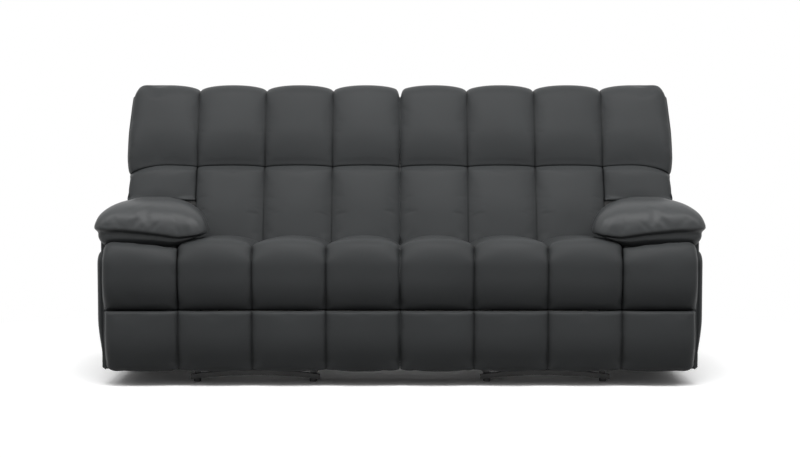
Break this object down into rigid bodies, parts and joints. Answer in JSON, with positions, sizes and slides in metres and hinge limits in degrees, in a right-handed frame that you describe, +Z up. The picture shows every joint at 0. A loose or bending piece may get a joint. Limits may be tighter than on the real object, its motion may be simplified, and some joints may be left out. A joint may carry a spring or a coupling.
{
  "type": "reclining sofa",
  "caption": "Charcoal leather reclining sofa for two with tufted backs, seat roll, pillow arms, rising footrests and backs that recline as the seats glide forward.",
  "frame": {"origin": "on the floor, at the middle of the sofa's length and depth", "axes": "+Z up, -Y towards the front, +X along the sofa's length towards the end on the right of someone who faces its front"},
  "size_m": [2.1468, 0.9402, 1.0682],
  "materials": {
    "charcoal_leather": "satin",
    "black_steel": "satin",
    "bolt_steel": "satin",
    "spring_steel": "satin",
    "black_plastic": "matte",
    "timber": "matte"
  },
  "bodies": {
    "frame": {"base_side_rails": "black_steel", "base_front_bars": "black_steel", "base_bolts": "bolt_steel", "base_rear_tubes": "black_steel", "base_feet": "black_plastic", "cross_tubes": "black_steel", "valance_board": "timber", "valance_cover": "charcoal_leather", "arm_frame_left": "timber", "arm_frame_right": "timber", "arm_cover_left": "charcoal_leather", "arm_cover_right": "charcoal_leather", "arm_side_pad_left": "charcoal_leather", "arm_side_pad_right": "charcoal_leather", "arm_pad_left": "charcoal_leather", "arm_pad_right": "charcoal_leather", "release_bezel_left": "black_plastic", "release_bezel_right": "black_plastic"},
    "release_left": {"release_paddle_left": "black_plastic"},
    "seat_left": {"seat_frame_left": "timber", "seat_roll_board_left": "timber", "seat_springs_left": "spring_steel", "seat_cushion_left": "charcoal_leather", "seat_side_plates_left": "black_steel"},
    "front_swing_left": {"front_swing_links_left": "black_steel"},
    "rear_swing_left": {"rear_swing_links_left": "black_steel"},
    "long_links_left": {"drive_tube_left": "black_steel", "long_links_left": "black_steel"},
    "short_links_left": {"short_links_left": "black_steel"},
    "cross_links_left": {"cross_links_left": "black_steel"},
    "end_links_left": {"end_links_left": "black_steel"},
    "footrest_left": {"footrest_brackets_left": "black_steel", "footrest_board_left": "timber", "footrest_pad_left": "charcoal_leather"},
    "back_left": {"back_frame_left": "timber", "back_brackets_left": "black_steel", "back_cushion_left": "charcoal_leather", "back_shell_left": "charcoal_leather"},
    "release_right": {"release_paddle_right": "black_plastic"},
    "seat_right": {"seat_frame_right": "timber", "seat_roll_board_right": "timber", "seat_springs_right": "spring_steel", "seat_cushion_right": "charcoal_leather", "seat_side_plates_right": "black_steel"},
    "front_swing_right": {"front_swing_links_right": "black_steel"},
    "rear_swing_right": {"rear_swing_links_right": "black_steel"},
    "long_links_right": {"drive_tube_right": "black_steel", "long_links_right": "black_steel"},
    "short_links_right": {"short_links_right": "black_steel"},
    "cross_links_right": {"cross_links_right": "black_steel"},
    "end_links_right": {"end_links_right": "black_steel"},
    "footrest_right": {"footrest_brackets_right": "black_steel", "footrest_board_right": "timber", "footrest_pad_right": "charcoal_leather"},
    "back_right": {"back_frame_right": "timber", "back_brackets_right": "black_steel", "back_cushion_right": "charcoal_leather", "back_shell_right": "charcoal_leather"}
  },
  "joints": [
    {"name": "rear_swing_left", "type": "hinge", "parent": "frame", "child": "rear_swing_left", "pos_m": [-0.517, 0.222, 0.042], "axis": [1, 0, 0], "range_deg": [0, 45]},
    {"name": "seat_level_left", "type": "hinge", "parent": "rear_swing_left", "child": "seat_left", "pos_m": [-0.517, 0.26835, 0.18466], "axis": [-1, 0, 0], "range_deg": [0, 45]},
    {"name": "front_swing_left", "type": "hinge", "parent": "frame", "child": "front_swing_left", "pos_m": [-0.517, -0.095, 0.042], "axis": [1, 0, 0], "range_deg": [0, 45]},
    {"name": "recline_left", "type": "hinge", "parent": "seat_left", "child": "back_left", "pos_m": [-0.517, 0.082, 0.36], "axis": [-1, 0, 0], "range_deg": [0, 45]},
    {"name": "footrest_left", "type": "hinge", "parent": "seat_left", "child": "footrest_left", "pos_m": [-0.517, -0.4545, 0.4345], "axis": [-1, 0, 0], "range_deg": [0, 90]},
    {"name": "long_link_left", "type": "hinge", "parent": "seat_left", "child": "long_links_left", "pos_m": [-0.517, -0.34, 0.288], "axis": [-1, 0, 0], "range_deg": [0, 90]},
    {"name": "short_link_left", "type": "hinge", "parent": "seat_left", "child": "short_links_left", "pos_m": [-0.517, -0.3, 0.273], "axis": [-1, 0, 0], "range_deg": [0, 90]},
    {"name": "cross_link_left", "type": "hinge", "parent": "long_links_left", "child": "cross_links_left", "pos_m": [-0.517, -0.2635, 0.0935], "axis": [1, 0, 0], "range_deg": [0, 90]},
    {"name": "end_link_left", "type": "hinge", "parent": "long_links_left", "child": "end_links_left", "pos_m": [-0.517, -0.2655, 0.0555], "axis": [1, 0, 0], "range_deg": [0, 90]},
    {"name": "release_left", "type": "hinge", "parent": "frame", "child": "release_left", "pos_m": [-1.0584, -0.2045, 0.4], "axis": [0, 0, 1], "range_deg": [0, 35], "stiffness_Nm_per_rad": 0.5, "springref_deg": -11.46},
    {"name": "rear_swing_right", "type": "hinge", "parent": "frame", "child": "rear_swing_right", "pos_m": [0.517, 0.222, 0.042], "axis": [1, 0, 0], "range_deg": [0, 45]},
    {"name": "seat_level_right", "type": "hinge", "parent": "rear_swing_right", "child": "seat_right", "pos_m": [0.517, 0.26835, 0.18466], "axis": [-1, 0, 0], "range_deg": [0, 45]},
    {"name": "front_swing_right", "type": "hinge", "parent": "frame", "child": "front_swing_right", "pos_m": [0.517, -0.095, 0.042], "axis": [1, 0, 0], "range_deg": [0, 45]},
    {"name": "recline_right", "type": "hinge", "parent": "seat_right", "child": "back_right", "pos_m": [0.517, 0.082, 0.36], "axis": [-1, 0, 0], "range_deg": [0, 45]},
    {"name": "footrest_right", "type": "hinge", "parent": "seat_right", "child": "footrest_right", "pos_m": [0.517, -0.4545, 0.4345], "axis": [-1, 0, 0], "range_deg": [0, 90]},
    {"name": "long_link_right", "type": "hinge", "parent": "seat_right", "child": "long_links_right", "pos_m": [0.517, -0.34, 0.288], "axis": [-1, 0, 0], "range_deg": [0, 90]},
    {"name": "short_link_right", "type": "hinge", "parent": "seat_right", "child": "short_links_right", "pos_m": [0.517, -0.3, 0.273], "axis": [-1, 0, 0], "range_deg": [0, 90]},
    {"name": "cross_link_right", "type": "hinge", "parent": "long_links_right", "child": "cross_links_right", "pos_m": [0.517, -0.2635, 0.0935], "axis": [1, 0, 0], "range_deg": [0, 90]},
    {"name": "end_link_right", "type": "hinge", "parent": "long_links_right", "child": "end_links_right", "pos_m": [0.517, -0.2655, 0.0555], "axis": [1, 0, 0], "range_deg": [0, 90]},
    {"name": "release_right", "type": "hinge", "parent": "frame", "child": "release_right", "pos_m": [1.0584, -0.2045, 0.4], "axis": [0, 0, -1], "range_deg": [0, 35], "stiffness_Nm_per_rad": 0.5, "springref_deg": -11.46}
  ],
  "couplings": [
    {"joint": "rear_swing_left", "follows": "recline_left", "ratio": 1},
    {"joint": "seat_level_left", "follows": "recline_left", "ratio": 1},
    {"joint": "front_swing_left", "follows": "recline_left", "ratio": 1},
    {"joint": "long_link_left", "follows": "footrest_left", "ratio": 1},
    {"joint": "short_link_left", "follows": "footrest_left", "ratio": 1},
    {"joint": "cross_link_left", "follows": "footrest_left", "ratio": 1},
    {"joint": "end_link_left", "follows": "footrest_left", "ratio": 1},
    {"joint": "rear_swing_right", "follows": "recline_right", "ratio": 1},
    {"joint": "seat_level_right", "follows": "recline_right", "ratio": 1},
    {"joint": "front_swing_right", "follows": "recline_right", "ratio": 1},
    {"joint": "long_link_right", "follows": "footrest_right", "ratio": 1},
    {"joint": "short_link_right", "follows": "footrest_right", "ratio": 1},
    {"joint": "cross_link_right", "follows": "footrest_right", "ratio": 1},
    {"joint": "end_link_right", "follows": "footrest_right", "ratio": 1}
  ]
}
